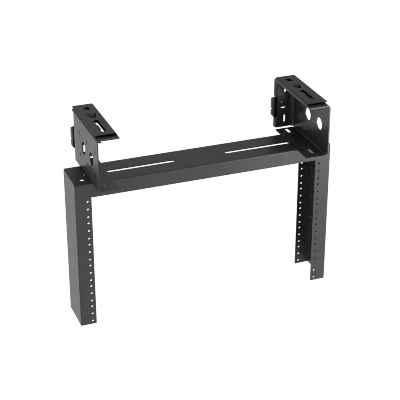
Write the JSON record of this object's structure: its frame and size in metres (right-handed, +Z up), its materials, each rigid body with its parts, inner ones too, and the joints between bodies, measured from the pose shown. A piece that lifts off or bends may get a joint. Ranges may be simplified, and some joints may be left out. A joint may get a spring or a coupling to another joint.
{
  "type": "ceiling mount equipment rack",
  "caption": "Open channel-steel rack that hangs from a ceiling: a slotted cross beam under two tall folded brackets, with a drilled channel rail at each end.",
  "frame": {"origin": "centre of the left bracket's cap, on its flat top face that bears on the ceiling", "axes": "+Z up to the ceiling, -Y out of the rack's front, +X along the cross beam from the left bracket to the right one"},
  "size_m": [0.5123, 0.1781, 0.4054],
  "materials": {
    "powder_coat": "fine-textured satin black powder coat"
  },
  "bodies": {
    "root": {"cross_beam": "powder_coat", "left_rail": "powder_coat", "right_rail": "powder_coat", "left_bracket": "powder_coat", "right_bracket": "powder_coat", "left_cap": "powder_coat", "right_cap": "powder_coat", "left_rear_clip": "powder_coat", "right_rear_clip": "powder_coat"}
  },
  "joints": []
}
